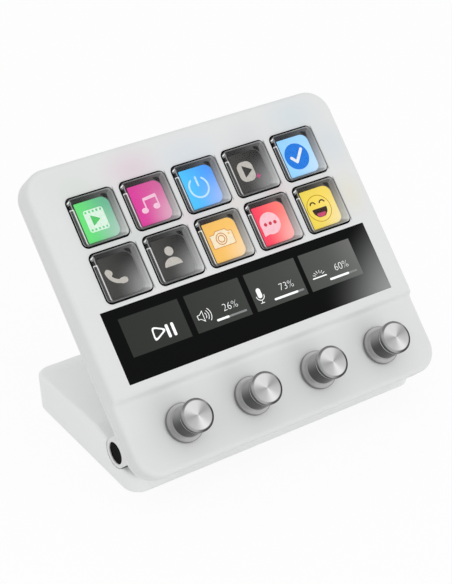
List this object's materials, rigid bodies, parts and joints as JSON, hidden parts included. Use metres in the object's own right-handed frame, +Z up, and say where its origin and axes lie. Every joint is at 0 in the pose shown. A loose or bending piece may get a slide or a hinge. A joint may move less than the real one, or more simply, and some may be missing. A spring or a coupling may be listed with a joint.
{
  "type": "macro keypad",
  "caption": "Desk macro keypad: clear display keys over a touch strip and push-and-turn metal knobs, on a white panel that tilts on a flat wedge base.",
  "frame": {"origin": "on the desk, under the middle of the base", "axes": "+X to the user's right, along the hinge; +Y away from the user; +Z up"},
  "size_m": [0.137, 0.0935, 0.1003],
  "materials": {
    "white_plastic": "fine satin moulding texture",
    "steel": "plain bright",
    "rubber": "matt",
    "bearing_plastic": "plain moulded",
    "black_plastic": "satin",
    "black_glass": "polished cover glass",
    "display": "display module",
    "grey_plastic": "plain moulded",
    "board": "solder mask",
    "chips": "moulded package",
    "lamps": "clear lens",
    "clear_cap": "polished clear",
    "aluminium": "turned rings on the ends, brushed round the side"
  },
  "bodies": {
    "base": {"base_shell": "white_plastic", "base_plate": "white_plastic", "base_ballast": "steel", "base_mat": "rubber", "base_screws": "steel", "hinge_pins": "steel", "hinge_washers": "bearing_plastic"},
    "head": {"front_bezel": "white_plastic", "rear_cover": "white_plastic", "hinge_plugs": "black_plastic", "head_screws": "steel", "strip_glass": "black_glass", "strip_display": "display", "key_display": "display", "key_frame": "black_plastic", "key_gasket": "rubber", "chassis": "grey_plastic", "main_board": "board", "board_parts": "chips", "edge_leds": "lamps", "usb_socket": "steel", "usb_tongue": "black_plastic", "encoder_bodies": "black_plastic"},
    "key_1": {"key_cap_1": "clear_cap"},
    "key_2": {"key_cap_2": "clear_cap"},
    "key_3": {"key_cap_3": "clear_cap"},
    "key_4": {"key_cap_4": "clear_cap"},
    "key_5": {"key_cap_5": "clear_cap"},
    "key_6": {"key_cap_6": "clear_cap"},
    "key_7": {"key_cap_7": "clear_cap"},
    "key_8": {"key_cap_8": "clear_cap"},
    "key_9": {"key_cap_9": "clear_cap"},
    "key_10": {"key_cap_10": "clear_cap"},
    "rotor_1": {"encoder_rotor_1": "bearing_plastic"},
    "knob_body_1": {"encoder_shaft_1": "steel", "knob_1": "aluminium"},
    "rotor_2": {"encoder_rotor_2": "bearing_plastic"},
    "knob_body_2": {"encoder_shaft_2": "steel", "knob_2": "aluminium"},
    "rotor_3": {"encoder_rotor_3": "bearing_plastic"},
    "knob_body_3": {"encoder_shaft_3": "steel", "knob_3": "aluminium"},
    "rotor_4": {"encoder_rotor_4": "bearing_plastic"},
    "knob_body_4": {"encoder_shaft_4": "steel", "knob_4": "aluminium"}
  },
  "joints": [
    {"name": "head_tilt", "type": "hinge", "parent": "base", "child": "head", "pos_m": [0, -0.02345, 0.0129], "axis": [1, 0, 0], "range_deg": [-44.5, 6.5]},
    {"name": "key_1_press", "type": "slide", "parent": "head", "child": "key_1", "axis": [0, 0.7009, -0.7133], "range_m": [0, 0.0008], "stiffness_N_per_m": 500, "springref_m": -0.0006},
    {"name": "key_2_press", "type": "slide", "parent": "head", "child": "key_2", "axis": [0, 0.7009, -0.7133], "range_m": [0, 0.0008], "stiffness_N_per_m": 500, "springref_m": -0.0006},
    {"name": "key_3_press", "type": "slide", "parent": "head", "child": "key_3", "axis": [0, 0.7009, -0.7133], "range_m": [0, 0.0008], "stiffness_N_per_m": 500, "springref_m": -0.0006},
    {"name": "key_4_press", "type": "slide", "parent": "head", "child": "key_4", "axis": [0, 0.7009, -0.7133], "range_m": [0, 0.0008], "stiffness_N_per_m": 500, "springref_m": -0.0006},
    {"name": "key_5_press", "type": "slide", "parent": "head", "child": "key_5", "axis": [0, 0.7009, -0.7133], "range_m": [0, 0.0008], "stiffness_N_per_m": 500, "springref_m": -0.0006},
    {"name": "key_6_press", "type": "slide", "parent": "head", "child": "key_6", "axis": [0, 0.7009, -0.7133], "range_m": [0, 0.0008], "stiffness_N_per_m": 500, "springref_m": -0.0006},
    {"name": "key_7_press", "type": "slide", "parent": "head", "child": "key_7", "axis": [0, 0.7009, -0.7133], "range_m": [0, 0.0008], "stiffness_N_per_m": 500, "springref_m": -0.0006},
    {"name": "key_8_press", "type": "slide", "parent": "head", "child": "key_8", "axis": [0, 0.7009, -0.7133], "range_m": [0, 0.0008], "stiffness_N_per_m": 500, "springref_m": -0.0006},
    {"name": "key_9_press", "type": "slide", "parent": "head", "child": "key_9", "axis": [0, 0.7009, -0.7133], "range_m": [0, 0.0008], "stiffness_N_per_m": 500, "springref_m": -0.0006},
    {"name": "key_10_press", "type": "slide", "parent": "head", "child": "key_10", "axis": [0, 0.7009, -0.7133], "range_m": [0, 0.0008], "stiffness_N_per_m": 500, "springref_m": -0.0006},
    {"name": "knob_1_turn", "type": "hinge", "parent": "head", "child": "rotor_1", "pos_m": [-0.04521, -0.03695, 0.02628], "axis": [0, -0.7009, 0.7133], "continuous": true},
    {"name": "knob_1_push", "type": "slide", "parent": "rotor_1", "child": "knob_body_1", "axis": [0, 0.7009, -0.7133], "range_m": [0, 0.0005], "stiffness_N_per_m": 1500, "springref_m": -0.0008},
    {"name": "knob_2_turn", "type": "hinge", "parent": "head", "child": "rotor_2", "pos_m": [-0.01507, -0.03695, 0.02628], "axis": [0, -0.7009, 0.7133], "continuous": true},
    {"name": "knob_2_push", "type": "slide", "parent": "rotor_2", "child": "knob_body_2", "axis": [0, 0.7009, -0.7133], "range_m": [0, 0.0005], "stiffness_N_per_m": 1500, "springref_m": -0.0008},
    {"name": "knob_3_turn", "type": "hinge", "parent": "head", "child": "rotor_3", "pos_m": [0.01507, -0.03695, 0.02628], "axis": [0, -0.7009, 0.7133], "continuous": true},
    {"name": "knob_3_push", "type": "slide", "parent": "rotor_3", "child": "knob_body_3", "axis": [0, 0.7009, -0.7133], "range_m": [0, 0.0005], "stiffness_N_per_m": 1500, "springref_m": -0.0008},
    {"name": "knob_4_turn", "type": "hinge", "parent": "head", "child": "rotor_4", "pos_m": [0.04521, -0.03695, 0.02628], "axis": [0, -0.7009, 0.7133], "continuous": true},
    {"name": "knob_4_push", "type": "slide", "parent": "rotor_4", "child": "knob_body_4", "axis": [0, 0.7009, -0.7133], "range_m": [0, 0.0005], "stiffness_N_per_m": 1500, "springref_m": -0.0008}
  ]
}
